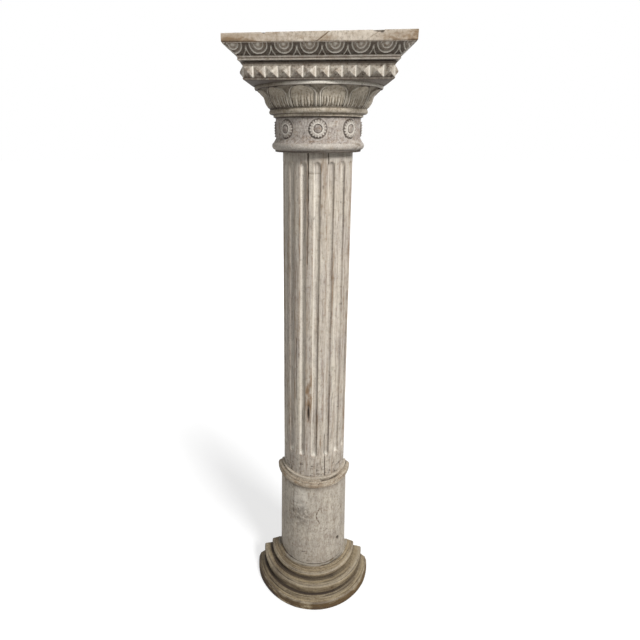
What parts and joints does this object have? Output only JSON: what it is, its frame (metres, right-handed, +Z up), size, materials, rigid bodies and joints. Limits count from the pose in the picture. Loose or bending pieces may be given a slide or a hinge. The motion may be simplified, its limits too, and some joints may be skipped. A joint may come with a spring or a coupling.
{
  "type": "half-round carved wooden column",
  "caption": "Half-round limewashed wooden column with stepped foot, fluted shaft, rosette necking and square carved capital.",
  "frame": {"origin": "on the floor, under the middle of the outline, halfway between the flat back and the front of the lower step", "axes": "+Z up the column, front towards -Y, flat back towards +Y, +X to the right as seen from the front"},
  "size_m": [0.4518, 0.218, 1.832],
  "materials": {
    "step_wood": "worn brown-grey limewash",
    "drum_wood": "smooth grey limewash, scuffed",
    "collar_wood": "worn limewash",
    "shaft_wood": "worn limewash over brown wood",
    "capital_wood": "thick limewash, dark in the hollows",
    "board_wood": "cream limewash"
  },
  "bodies": {
    "root": {"lower_step": "step_wood", "middle_step": "step_wood", "upper_step": "step_wood", "plain_drum": "drum_wood", "collar": "collar_wood", "fluted_shaft": "shaft_wood", "necking": "capital_wood", "leaf_bell": "capital_wood", "nailhead_block": "capital_wood", "egg_and_dart_moulding": "capital_wood", "top_board": "board_wood"}
  },
  "joints": []
}
